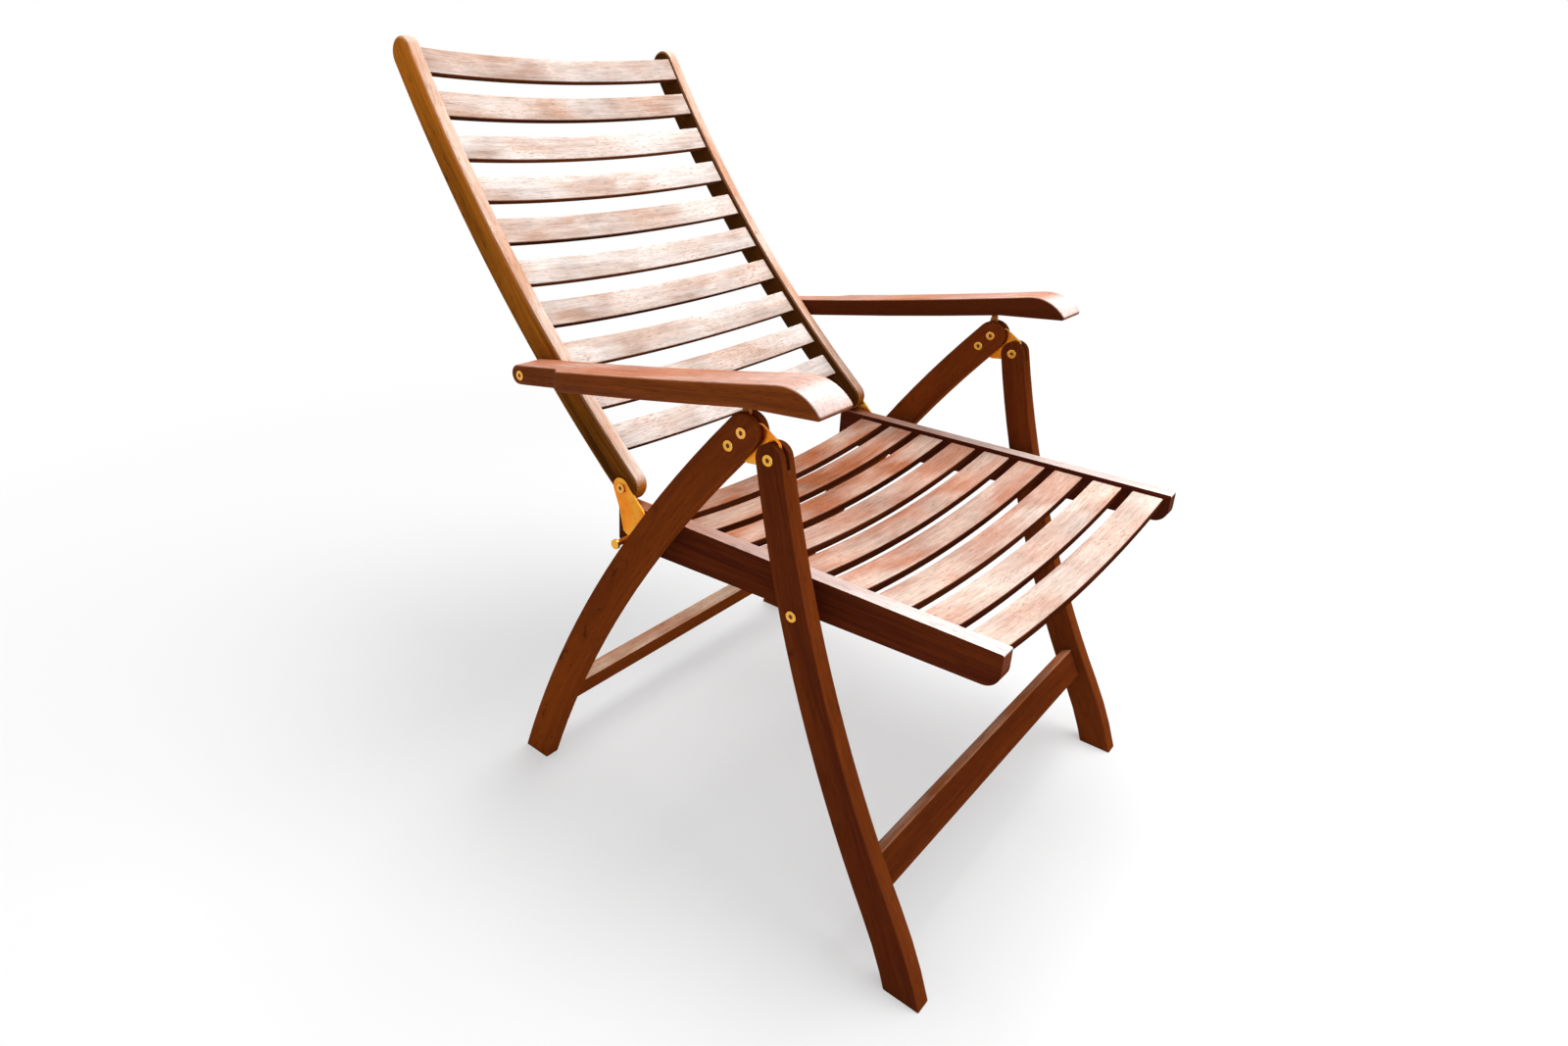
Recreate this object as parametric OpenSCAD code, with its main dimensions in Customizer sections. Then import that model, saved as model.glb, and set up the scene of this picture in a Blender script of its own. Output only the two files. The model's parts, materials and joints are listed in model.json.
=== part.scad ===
// Adjustable folding garden chair, one hardwood chair with brass hardware.
// X runs across the chair, Y from the front to the back, Z up; the floor is at zero.
// Every outline in side view is drawn from the pivots, so the mates follow the sizes.

/* [Seat] */
// Height of the top of the seat rails above the floor
seat_height = 433; // [400:1:460]
// Half the distance between the outer faces of the two seat rails
rail_outer = 262; // [230:1:280]
// Thickness of a seat rail across the chair
rail_thickness = 20; // [16:1:26]
// Depth of a seat rail at its front end
rail_front_depth = 39; // [36:1:46]
// Depth of a seat rail at its back end
rail_back_depth = 54; // [50:1:58]
// Radius of the lower front corner of a seat rail
rail_nose_radius = 18; // [8:1:20]
// Width of a seat slat from front to back
seat_slat_width = 38; // [28:1:42]
// Spacing of the seat slats
seat_slat_pitch = 51.7; // [48:0.1:53]
// Thickness of a seat slat
seat_slat_thickness = 10.5; // [8:0.5:13]
// How far the middle of a seat slat dips below its ends
seat_slat_dish = 16; // [4:1:20]
// How far the ends of the seat slats lie below the tops of the rails
seat_slat_drop = 6; // [2:1:10]

/* [Legs] */
// Half the distance between the outer faces of the legs
leg_outer = 300; // [286:1:330]
// Thickness of a leg across the chair
leg_thickness = 22; // [18:1:26]
// Width of a front leg at its head
front_leg_head = 33.5; // [30:0.5:34]
// Width of a front leg at its foot
front_leg_foot = 42; // [36:1:48]
// Width of a back leg at its head
back_leg_head = 40.5; // [36:0.5:41]
// Width of a back leg at its foot
back_leg_foot = 42; // [38:1:46]
// Width of a stretcher, measured along the legs
stretcher_width = 40; // [30:1:46]
// Thickness of the front stretcher
front_stretcher_thickness = 15.5; // [12:0.5:20]
// Thickness of the back stretcher
back_stretcher_thickness = 20; // [14:1:22]
// Thickness of the brass plate in the leg heads
plate_thickness = 4; // [3:0.5:6]

/* [Back] */
// Length of a back stile along its curve, from hinge to top centre
stile_length = 646; // [560:1:660]
// Width of a back stile
stile_width = 42.5; // [38:0.5:44]
// How many degrees a back stile bows over its length
stile_bow = 17.6; // [8:0.1:20]
// Width of a back slat along the stile
back_slat_width = 37.5; // [28:0.5:44]
// Thickness of a back slat
back_slat_thickness = 9; // [6:0.5:11]
// How far the middle of a back slat dips behind its ends
back_slat_dish = 15; // [4:1:18]

/* [Arms] */
// Width of an armrest
arm_width = 56; // [44:1:62]
// Thickness of an armrest
arm_thickness = 25; // [20:1:28]
// Depth of the scoop in the outer face at the back of an armrest
arm_scoop = 14; // [4:1:18]
// Width of one notch in the rack under an armrest
notch_width = 9; // [6:0.5:11]
// Spacing of the notches in the rack
notch_pitch = 18.6; // [16:0.1:20]

/* [Hardware] */
// Diameter of the pivot bolts
bolt_diameter = 8; // [6:0.5:9]
// Diameter of the heads of the bolts
bolt_head = 12.5; // [11:0.5:15]
// Diameter of the stop pins behind the back legs
rod_diameter = 7.5; // [6:0.5:10]
// Thickness of the brass hinge plates on the rails
hinge_thickness = 3; // [2:0.5:4]
// Running clearance of a bolt in a bore that turns on it
running = 0.06; // [0.03:0.01:0.1]
// Clearance between faces that slide past one another
slide = 0.4; // [0.3:0.1:0.8]
// Gap left between the tab of a leg plate and the underside of the armrest
tab_gap = 1.13; // [1:0.01:2]

/* [Hidden] */

oak = [0.72, 0.46, 0.27];
brass = [0.74, 0.62, 0.35];

// Steps along a curved edge and around a round
steps = 20;
round_fn = 24;

rail_inner = rail_outer - rail_thickness;
leg_inner = leg_outer - leg_thickness;
plate_x = leg_outer - leg_thickness / 2;
bolt_r = bolt_diameter / 2;
head_r = bolt_head / 2;
head_t = 1.6;
rod_r = rod_diameter / 2;
cap_r = rod_r + 2.4;
cap_t = 4;

// Pivots in side view as y and z; z hangs on the seat height
seat_pivot_forward = 127.6;
seat_pivot_drop = 28.8;
leg_pivot_forward = 87;
leg_pivot_rise = 133.5;
plate_bolt_step = 35;
plate_bolt_rise = 20.3;
plate_bolt_span = 24;
back_pivot_back = 157;
back_pivot_rise = 19.3;
arm_pivot_back = 293;
arm_pivot_rise = 143;
tab_step = 37;
tab_rise = 50.42;
seat_pivot = [-seat_pivot_forward, seat_height - seat_pivot_drop];
leg_pivot = [-leg_pivot_forward, seat_height + leg_pivot_rise];
plate_bolt_1 = leg_pivot + [plate_bolt_step, plate_bolt_rise];
plate_bolt_2 = plate_bolt_1 + plate_bolt_span * [cos(48.2), -sin(48.2)];
back_pivot = [back_pivot_back, seat_height + back_pivot_rise];
arm_pivot = [arm_pivot_back, seat_height + arm_pivot_rise];
tab_top = leg_pivot + [tab_step, tab_rise];

// A point on an arc from p with heading h, bending by b degrees a millimetre
function arc_point(p, h, s, b) =
  p + (abs(b * s) < 0.0001 ? s : 360 * sin(b * s / 2) / (PI * b))
  * [cos(h + b * s / 2), sin(h + b * s / 2)];
function arc_heading(h, s, b) = h + b * s;
function left_of(h) = [-sin(h), cos(h)];
// Points around a centre from one angle to another
function arc_around(c, r, a, b, n) =
  [for (i = [0 : n]) c + r * [cos(a + (b - a) * i / n), sin(a + (b - a) * i / n)]];

// Front leg: a long bend, then a shorter bend the other way near the foot
// The heading at the head follows from the two pivots, which lie near its middle line
front_l1 = 510;
front_b1 = -16.9 / front_l1;
front_l2 = 170;
front_b2 = 18.58 / front_l2;
pivot_span = seat_pivot - leg_pivot;
front_h0 = 359.52 + atan2(pivot_span[1], pivot_span[0]) - front_b1 * norm(pivot_span) / 2;
front_knee = arc_point(leg_pivot, front_h0, front_l1, front_b1);
front_h1 = arc_heading(front_h0, front_l1, front_b1);
front_length = front_l1 + front_l2;
function front_point(s) = s <= front_l1
  ? arc_point(leg_pivot, front_h0, s, front_b1)
  : arc_point(front_knee, front_h1, s - front_l1, front_b2);
function front_heading(s) = s <= front_l1
  ? arc_heading(front_h0, s, front_b1)
  : arc_heading(front_h1, s - front_l1, front_b2);
function front_half(s) =
  (front_leg_head + (front_leg_foot - front_leg_head) * s / front_length) / 2;
front_side = [for (i = [0 : steps]) i * front_length / steps];
front_outline = concat(
  [for (s = front_side) front_point(s) + front_half(s) * left_of(front_heading(s))],
  [for (i = [steps : -1 : 0]) let (s = front_side[i])
    front_point(s) - front_half(s) * left_of(front_heading(s))],
  arc_around(leg_pivot, front_leg_head / 2, front_h0 - 100, front_h0 - 260, 16));

// Back leg: one long bend
back_h0 = -47.8;
back_length = 760;
back_b = -24.834 / back_length;
function back_point(s) = arc_point(plate_bolt_1, back_h0, s, back_b);
function back_heading(s) = arc_heading(back_h0, s, back_b);
function back_half(s) =
  (back_leg_head + (back_leg_foot - back_leg_head) * s / back_length) / 2;
back_side = [for (i = [0 : steps]) i * back_length / steps];
back_outline = concat(
  [for (s = back_side) back_point(s) + back_half(s) * left_of(back_heading(s))],
  [for (i = [steps : -1 : 0]) let (s = back_side[i])
    back_point(s) - back_half(s) * left_of(back_heading(s))],
  arc_around(plate_bolt_1, back_leg_head / 2, back_h0 - 100, back_h0 - 260, 16));

// The stop pins lie against the back edge of the back legs under the rails
rod_at_s = 252;
stop_at = back_point(rod_at_s)
  + (back_half(rod_at_s) + rod_r + slide) * left_of(back_heading(rod_at_s));

// Back stile: bowed round the back of the sitter, both ends round.
// Its middle line starts in front of the hinge bolt, and its foot clears the rail
// also when the back stands up.
stile_h0 = 41.16;
stile_forward = 6;
back_turn = 28;
stile_b = stile_bow / stile_length;
stile_start = back_pivot + stile_forward * left_of(stile_h0);
stile_foot_r = min(stile_width / 2,
  back_pivot_rise + stile_forward * sin(stile_h0 + 90 + back_turn) - slide - 0.1);
function stile_point(s) = arc_point(stile_start, stile_h0, s, stile_b);
function stile_heading(s) = arc_heading(stile_h0, s, stile_b);
function stile_half(s) = min(stile_width / 2, stile_foot_r + s * 0.03);
stile_side = [for (i = [0 : steps]) i * stile_length / steps];
stile_top = stile_point(stile_length);
stile_top_h = stile_heading(stile_length);
stile_outline = concat(
  [for (s = stile_side) stile_point(s) - stile_half(s) * left_of(stile_heading(s))],
  arc_around(stile_top, stile_width / 2, stile_top_h - 80, stile_top_h + 80, 16),
  [for (i = [steps : -1 : 0]) let (s = stile_side[i])
    stile_point(s) + stile_half(s) * left_of(stile_heading(s))],
  arc_around(stile_start, stile_foot_r, stile_h0 + 100, stile_h0 + 260, 16));

// Seat rail: level top, rounded nose, bottom edge rising to the front
rail_back_y = 163;
rail_front_y = -336;
rail_top_r = 2;
rail_bottom = seat_height - rail_back_depth;
rail_outline = concat(
  arc_around([rail_back_y - 4, rail_bottom + 4], 4, -90, 0, 4),
  arc_around([rail_back_y - 3, seat_height - 3], 3, 0, 90, 4),
  arc_around([rail_front_y + rail_top_r, seat_height - rail_top_r], rail_top_r, 90, 180, 6),
  arc_around([rail_front_y + rail_nose_radius, seat_height - rail_front_depth
    + rail_nose_radius], rail_nose_radius, 180, 266, 12),
  [[100, rail_bottom]]);

// Armrest: slopes up to the front in a slight curve and ends in a waterfall.
// Its heading is the one at which its underside lies just above the tab.
arm_rise = 402;
arm_b = -2.365 / arm_rise;
arm_start = arm_pivot + 0.52 * arm_thickness * [0, 1];
arm_to_tab = tab_top + [0, tab_gap] - arm_start;
arm_to_tab_s = sqrt(arm_to_tab * arm_to_tab - arm_thickness * arm_thickness);
arm_h0 = atan2(arm_to_tab[1], arm_to_tab[0])
  - atan2(arm_thickness + arm_to_tab_s * sin(arm_b * arm_to_tab_s / 2),
    arm_to_tab_s * cos(arm_b * arm_to_tab_s / 2));
arm_nose_r = 55;
arm_tip_r = 4;
arm_inner = rail_outer + 1;
arm_outer = arm_inner + arm_width;
arm_mid = (arm_inner + arm_outer) / 2;
arm_half = arm_thickness / 2;
function arm_top(s) = arc_point(arm_start, arm_h0, s, arm_b);
function arm_under(s) = arm_top(s) + arm_thickness * left_of(arm_h0 + arm_b * s);
arm_h1 = arm_h0 + arm_b * arm_rise;
arm_nose_c = arm_top(arm_rise) + arm_nose_r * left_of(arm_h1);
arm_tip = arm_nose_c + (arm_nose_r - arm_tip_r) * [cos(140), sin(140)];
arm_level = 360;
arm_outline = concat(
  arc_around(arm_pivot + [4, 0], arm_half, -96, 84, 16),
  [for (i = [0 : 12]) arm_top(i * arm_rise / 12)],
  arc_around(arm_nose_c, arm_nose_r, arm_h1 - 80, 138, 10),
  arc_around(arm_tip, arm_tip_r, 145, 262, 6),
  [for (i = [12 : -1 : 0]) arm_under(i * arm_level / 12)]);

// Rack under the armrest; the tab of the leg plate runs just under it
rack_thickness = 6;
rack_depth = 7;
rack_wall = 3;
notches = 5;
rack_start = 258.2;
rack_end = rack_start + notches * notch_pitch + 12;
// the groove runs on in front of the rack so that the tab passes as the legs close
groove_end = rack_end + 60;
groove_width = rack_thickness + 2 * slide;

// The y of the middle of the whole chair, which becomes the origin
mid_y = (rail_front_y + stile_top[0] + stile_width / 2) / 2;

// Draws a side outline with a thickness across the chair, on one side of it
module flat(points, x, thickness, side)
  translate([side > 0 ? x : -x - thickness, -mid_y, 0])
    rotate([90, 0, 90])
      linear_extrude(height = thickness)
        polygon(points);

// A round bar across the chair from x to x plus length, on one side of it
module bar(at, r, x, length, side)
  translate([side > 0 ? x : -x - length, at[0] - mid_y, at[1]])
    rotate([0, 90, 0])
      cylinder(h = length, r = r, $fn = round_fn);

// A box in side view, centred at a point and turned by a heading
module tile(at, turn, along, across, x, length, side)
  translate([side > 0 ? x : -x - length, at[0] - mid_y, at[1]])
    rotate([turn, 0, 0])
      translate([0, -along / 2, -across / 2])
        cube([length, along, across]);

// Six sided socket in a bolt head
module socket(at, x, depth, side)
  translate([side > 0 ? x - depth : -x, at[0] - mid_y, at[1]])
    rotate([0, 90, 0])
      cylinder(h = depth, d = bolt_head * 0.42, $fn = 6);

// A bolt across the chair with a socket head at each end
module bolt(at, from, to, side) {
  difference() {
    union() {
      bar(at, bolt_r, from - head_t / 2, to - from + head_t, side);
      bar(at, head_r, to, head_t, side);
      bar(at, head_r, from - head_t, head_t, side);
    }
    socket(at, to + head_t, head_t * 0.8, side);
    socket(at, from - head_t * 0.2, head_t * 0.8, side);
  }
}

plate_round = 12;
slot_up = 56;
slot_down = plate_round + 1;
slot_back = 40;
front_down = [cos(front_h0), sin(front_h0)];
module front_leg(side) {
  color(oak)
    difference() {
      flat(front_outline, leg_inner, leg_thickness, side);
      // floor cut
      translate([-1000, -2000, -400])
        cube([2000, 4000, 400]);
      // slot for the plate in the head, cut deeper at the back where the plate folds in
      tile(leg_pivot - (slot_up - slot_down) / 2 * front_down, front_h0 - 90, 120,
        slot_up + slot_down, plate_x - plate_thickness / 2 - slide,
        plate_thickness + 2 * slide, side);
      tile(leg_pivot + slot_back / 2 * front_down + 26 * left_of(front_h0),
        front_h0 - 90, 60, slot_back, plate_x - plate_thickness / 2 - slide,
        plate_thickness + 2 * slide, side);
      bar(leg_pivot, bolt_r, leg_inner - 1, leg_thickness + 2, side);
      bar(seat_pivot, bolt_r, leg_inner - 1, leg_thickness + 2, side);
    }
}

module back_leg(side) {
  color(oak)
    difference() {
      flat(back_outline, leg_inner, leg_thickness, side);
      translate([-1000, -2000, -400])
        cube([2000, 4000, 400]);
      tile(plate_bolt_1, back_h0, 104, 60, plate_x - plate_thickness / 2,
        plate_thickness, side);
      bar(plate_bolt_1, bolt_r, leg_inner - 1, leg_thickness + 2, side);
      bar(plate_bolt_2, bolt_r, leg_inner - 1, leg_thickness + 2, side);
    }
}

front_cross_s = 471.5;
back_cross_s = 560;
module stretcher(at, heading, thickness)
  color(oak)
    translate([-leg_inner, at[0] - mid_y, at[1]])
      rotate([heading, 0, 0])
        translate([0, -stretcher_width / 2, -thickness / 2])
          cube([2 * leg_inner, stretcher_width, thickness]);

module front_leg_right() { front_leg(-1); }
module front_leg_left() { front_leg(1); }
module back_leg_right() { back_leg(-1); }
module back_leg_left() { back_leg(1); }
module front_stretcher()
  stretcher(front_point(front_cross_s), front_heading(front_cross_s),
    front_stretcher_thickness);
module back_leg_stretcher()
  stretcher(back_point(back_cross_s), back_heading(back_cross_s),
    back_stretcher_thickness);

module leg_pivot_bolts() {
  color(brass) {
    bolt(leg_pivot, leg_inner, leg_outer, -1);
    bolt(leg_pivot, leg_inner, leg_outer, 1);
  }
}

module leg_plate_bolts() {
  color(brass) {
    bolt(plate_bolt_1, leg_inner, leg_outer, -1);
    bolt(plate_bolt_2, leg_inner, leg_outer, -1);
    bolt(plate_bolt_1, leg_inner, leg_outer, 1);
    bolt(plate_bolt_2, leg_inner, leg_outer, 1);
  }
}

module seat_pivot_bolts() {
  color(brass) {
    bolt(seat_pivot, rail_inner, leg_outer, -1);
    bolt(seat_pivot, rail_inner, leg_outer, 1);
  }
}

module spacer(side)
  difference() {
    bar(seat_pivot, head_r + 1, rail_outer + slide, leg_inner - rail_outer - slide, side);
    bar(seat_pivot, bolt_r, rail_outer - 1, leg_inner - rail_outer + 2, side);
  }

module seat_pivot_spacers() {
  color(brass) {
    spacer(-1);
    spacer(1);
  }
}

// Brass plate that joins the leg heads; its tab is narrower than a notch of the rack
tab_r = notch_width / 2 - 0.5;
plate_outline = concat(
  [leg_pivot + [-5.6, 16.8]],
  arc_around(leg_pivot, plate_round, 150, 290, 12),
  [leg_pivot + [32, -14.5]],
  arc_around(plate_bolt_2, 12, -80, 10, 8),
  [tab_top + [7, -16]],
  arc_around(tab_top - [0, tab_r], tab_r, 15, 165, 8),
  [tab_top + [-6, -16], leg_pivot + [15.5, 30.6]]);
module leg_plate(side)
  color(brass)
    difference() {
      flat(plate_outline, plate_x - plate_thickness / 2, plate_thickness, side);
      bar(leg_pivot, bolt_r + running, leg_inner, leg_thickness, side);
      bar(plate_bolt_1, bolt_r, leg_inner, leg_thickness, side);
      bar(plate_bolt_2, bolt_r, leg_inner, leg_thickness, side);
    }
module leg_plate_right() { leg_plate(-1); }
module leg_plate_left() { leg_plate(1); }

// Seat
module seat_rail(side)
  color(oak)
    difference() {
      flat(rail_outline, rail_inner, rail_thickness, side);
      bar(seat_pivot, bolt_r + running, rail_inner - 1, rail_thickness + 2, side);
      bar(stop_at, rod_r, rail_inner - 1, rail_thickness + 2, side);
      for (at = screw_points)
        bar(at, screw_r, rail_outer - screw_length, screw_length + 1, side);
    }
module seat_rail_right() { seat_rail(-1); }
module seat_rail_left() { seat_rail(1); }

// Outline of a dished slat: the tops of its ends at zero, the middle lower by the dip
function dish_radius(half, dip) = (half * half + dip * dip) / (2 * dip);
function dish_arc(r, half, lift, n) =
  [for (i = [0 : n]) let (t = asin(half / r) * (2 * i / n - 1))
    [r * sin(t), r * cos(asin(half / r)) - r * cos(t) + lift]];
function reversed(list) = [for (i = [len(list) - 1 : -1 : 0]) list[i]];
function dish_points(half, dip, thickness, n) = let (r = dish_radius(half, dip))
  concat(dish_arc(r, half, 0, n), reversed(dish_arc(r, half, -thickness, n)));

seat_slat_first = -327.4;
module seat_slat(i)
  color(oak)
    translate([0, seat_slat_first + (i - 1) * seat_slat_pitch - mid_y + seat_slat_width,
      seat_height - seat_slat_drop])
      rotate([90, 0, 0])
        linear_extrude(height = seat_slat_width)
          polygon(dish_points(rail_inner, seat_slat_dish, seat_slat_thickness, 24));
module seat_slat_1() { seat_slat(1); }
module seat_slat_2() { seat_slat(2); }
module seat_slat_3() { seat_slat(3); }
module seat_slat_4() { seat_slat(4); }
module seat_slat_5() { seat_slat(5); }
module seat_slat_6() { seat_slat(6); }
module seat_slat_7() { seat_slat(7); }
module seat_slat_8() { seat_slat(8); }
module seat_slat_9() { seat_slat(9); }

// Brass hinge plate on the outer face of each rail; the stop pin holds its foot
hinge_r = 13.2;
screw_r = 2;
screw_length = 14;
screw_points = [[113, seat_height - 12], [138, seat_height - 45]];
hinge_outline = concat(
  arc_around(back_pivot, hinge_r, -14, 148, 14),
  [back_pivot + [-26, -9], back_pivot + [-39, -21.5]],
  arc_around([111, seat_height - 15], 8, 110, 190, 4),
  arc_around(stop_at, 10, 180, 290, 8),
  [back_pivot + [-11, -60], back_pivot + [-4, -56], back_pivot + [3, -27]]);
module hinge_plate(side)
  color(brass)
    difference() {
      flat(hinge_outline, rail_outer, hinge_thickness, side);
      bar(back_pivot, bolt_r, rail_outer - 1, hinge_thickness + 2, side);
      bar(stop_at, rod_r, rail_outer - 1, hinge_thickness + 2, side);
      for (at = screw_points)
        bar(at, screw_r, rail_outer - 1, hinge_thickness + 2, side);
    }
module hinge_plate_right() { hinge_plate(-1); }
module hinge_plate_left() { hinge_plate(1); }

module screw(at, side)
  difference() {
    union() {
      bar(at, screw_r, rail_outer - screw_length, screw_length + hinge_thickness + 0.4, side);
      bar(at, screw_r * 2, rail_outer + hinge_thickness, 1.2, side);
    }
    tile(at, 40, screw_r * 3, 0.8, rail_outer + hinge_thickness + 0.6, 1, side);
    tile(at, 130, screw_r * 3, 0.8, rail_outer + hinge_thickness + 0.6, 1, side);
  }
module hinge_plate_screws() {
  color(brass) {
    for (at = screw_points) {
      screw(at, -1);
      screw(at, 1);
    }
  }
}

pin_reach = 5;
module stop_pin(side) {
  bar(stop_at, rod_r, rail_inner - 3, leg_outer + pin_reach - rail_inner + 3, side);
  bar(stop_at, cap_r, leg_outer + pin_reach, cap_t, side);
}
module stop_pins() {
  color(brass) {
    stop_pin(-1);
    stop_pin(1);
  }
}

// Back
stile_inner = rail_inner + slide;
stile_thickness = rail_thickness - 2 * slide;
stile_outer = stile_inner + stile_thickness;
module back_hinge_bolts() {
  color(brass) {
    bolt(back_pivot, stile_inner, rail_outer + hinge_thickness, -1);
    bolt(back_pivot, stile_inner, rail_outer + hinge_thickness, 1);
  }
}

module back_stile(side)
  color(oak)
    difference() {
      flat(stile_outline, stile_inner, stile_thickness, side);
      bar(back_pivot, bolt_r + running, stile_inner - 1, stile_thickness + 2, side);
      bar(arm_pivot, bolt_r, stile_inner - 1, stile_thickness + 2, side);
    }
module back_stile_right() { back_stile(-1); }
module back_stile_left() { back_stile(1); }

back_slat_first = 60;
back_slat_pitch = (stile_length - 20 - back_slat_first) / 9;
// The slats lie deeper behind the front edges of the stiles at the foot than at the top
back_slat_low = 13.5;
back_slat_high = 3.5;
function back_slat_inset(s) =
  back_slat_low + (back_slat_high - back_slat_low) * s / stile_length;
module back_slat(i)
  let (s = back_slat_first + (i - 1) * back_slat_pitch)
    color(oak)
      translate([0, stile_point(s)[0] - mid_y, stile_point(s)[1]])
        rotate([stile_heading(s), 0, 0])
          translate([0, back_slat_width / 2, stile_width / 2 - back_slat_inset(s)])
            rotate([90, 0, 0])
              linear_extrude(height = back_slat_width)
                polygon(dish_points(stile_inner, back_slat_dish, back_slat_thickness, 24));
module back_slat_1() { back_slat(1); }
module back_slat_2() { back_slat(2); }
module back_slat_3() { back_slat(3); }
module back_slat_4() { back_slat(4); }
module back_slat_5() { back_slat(5); }
module back_slat_6() { back_slat(6); }
module back_slat_7() { back_slat(7); }
module back_slat_8() { back_slat(8); }
module back_slat_9() { back_slat(9); }
module back_slat_10() { back_slat(10); }

// Arms
bush_r = bolt_r + 2;
arm_face = arm_outer - arm_scoop;
module arm_bolt(side)
  color(brass)
    bolt(arm_pivot, stile_inner, arm_face, side);
module arm_bolt_right() { arm_bolt(-1); }
module arm_bolt_left() { arm_bolt(1); }

module arm_bush(side)
  color(brass)
    difference() {
      bar(arm_pivot, bush_r, arm_inner, arm_face - arm_inner - running, side);
      bar(arm_pivot, bolt_r + running, arm_inner - 1, arm_width + 2, side);
    }
module arm_bush_right() { arm_bush(-1); }
module arm_bush_left() { arm_bush(1); }

// Scoop in the outer face, in plan, and the rounded corners of the front end
scoop_y = 212;
scoop_r = 26;
scoop_outline = concat(
  [[arm_outer + 20, scoop_y - 30], [arm_outer + 20, 400], [arm_face, 400]],
  arc_around([arm_face + scoop_r, scoop_y + sqrt(scoop_r * scoop_r
    - (scoop_r - arm_scoop) * (scoop_r - arm_scoop))], scoop_r, 180,
    180 + acos((scoop_r - arm_scoop) / scoop_r), 8));
module scoop(side)
  translate([0, -mid_y, 400])
    mirror([side > 0 ? 0 : 1, 0, 0])
      linear_extrude(height = 400)
        polygon(scoop_outline);

module arm(side)
  color(oak)
    difference() {
      flat(arm_outline, arm_inner, arm_width, side);
      scoop(side);
      bar(arm_pivot, bush_r, arm_inner - 1, arm_width + 2, side);
      flat(groove_outline, plate_x - groove_width / 2, groove_width, side);
    }
groove_steps = concat(
  [for (i = [0 : 6]) rack_start + (rack_end - rack_start) * i / 6],
  [for (i = [1 : 3]) rack_end + (groove_end - rack_end) * i / 3]);
groove_outline = concat(
  [for (i = [0 : 9]) arm_under(groove_steps[i]) + 8 * left_of(arm_h0)],
  [for (i = [9 : -1 : 0]) arm_under(groove_steps[i]) - rack_depth * left_of(arm_h0)]);
rack_outline = concat(
  [arm_under(rack_start)],
  [for (k = [0 : notches - 1]) let (s = rack_start + 6 + (k + 0.5) * notch_pitch) each [
    arm_under(s - notch_width / 2),
    arm_under(s - notch_width / 2 + 1) - (rack_depth - rack_wall) * left_of(arm_h0),
    arm_under(s + notch_width / 2 - 1) - (rack_depth - rack_wall) * left_of(arm_h0),
    arm_under(s + notch_width / 2)]],
  [for (i = [6 : -1 : 0]) arm_under(rack_start + (rack_end - rack_start) * i / 6)
    - rack_depth * left_of(arm_h0)]);
module arm_rack(side)
  color(brass)
    flat(rack_outline, plate_x - rack_thickness / 2, rack_thickness, side);
module arm_right() { arm(-1); }
module arm_left() { arm(1); }
module arm_rack_right() { arm_rack(-1); }
module arm_rack_left() { arm_rack(1); }

front_leg_right();
front_leg_left();
front_stretcher();
leg_pivot_bolts();
seat_pivot_bolts();
seat_pivot_spacers();
back_leg_right();
back_leg_left();
back_leg_stretcher();
leg_plate_right();
leg_plate_left();
leg_plate_bolts();
seat_rail_right();
seat_rail_left();
seat_slat_1();
seat_slat_2();
seat_slat_3();
seat_slat_4();
seat_slat_5();
seat_slat_6();
seat_slat_7();
seat_slat_8();
seat_slat_9();
hinge_plate_right();
hinge_plate_left();
hinge_plate_screws();
stop_pins();
back_hinge_bolts();
back_stile_right();
back_stile_left();
back_slat_1();
back_slat_2();
back_slat_3();
back_slat_4();
back_slat_5();
back_slat_6();
back_slat_7();
back_slat_8();
back_slat_9();
back_slat_10();
arm_bolt_right();
arm_bolt_left();
arm_bush_right();
arm_bush_left();
arm_right();
arm_left();
arm_rack_right();
arm_rack_left();
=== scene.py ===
"""Folding hardwood garden chair: finishes, softened edges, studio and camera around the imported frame."""

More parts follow.
